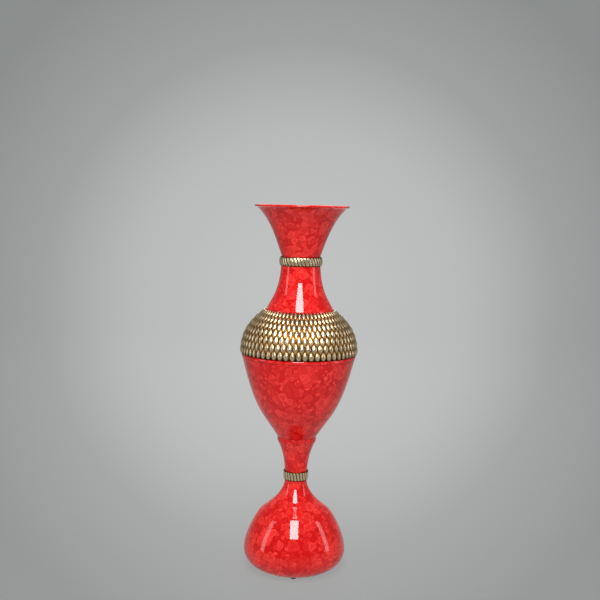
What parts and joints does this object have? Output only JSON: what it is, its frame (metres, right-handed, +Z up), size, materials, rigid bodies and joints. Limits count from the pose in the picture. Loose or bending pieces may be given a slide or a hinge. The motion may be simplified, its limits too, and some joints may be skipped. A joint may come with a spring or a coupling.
{
  "type": "flower vase",
  "caption": "Tall footed flower vase with a flared mouth, an embossed gold band round its belly, a waisted stem and a bell-shaped base.",
  "frame": {"origin": "on the floor, at the middle of the foot", "axes": "+Z up along the axis of the vase; +X and +Y are alike, because it is round"},
  "size_m": [0.1946, 0.1946, 0.6098],
  "materials": {
    "red_lacquer": "glossy mottled lacquer",
    "gold_brass": "antiqued, embossed",
    "zinc_steel": "zinc plated",
    "black_rubber": "matt"
  },
  "bodies": {
    "root": {"trumpet": "red_lacquer", "neck_collar": "gold_brass", "neck_sleeve": "zinc_steel", "shoulder": "red_lacquer", "belly_band": "gold_brass", "belly_ring": "red_lacquer", "bowl": "red_lacquer", "bowl_gasket": "black_rubber", "bowl_washer": "zinc_steel", "bowl_nut": "zinc_steel", "tie_rod": "zinc_steel", "stem": "red_lacquer", "stem_collar": "gold_brass", "base_dome": "red_lacquer", "base_plate": "zinc_steel", "plate_washer": "zinc_steel", "plate_nut": "zinc_steel", "foot_pad_1": "black_rubber", "foot_pad_2": "black_rubber", "foot_pad_3": "black_rubber", "foot_pad_4": "black_rubber"}
  },
  "joints": []
}
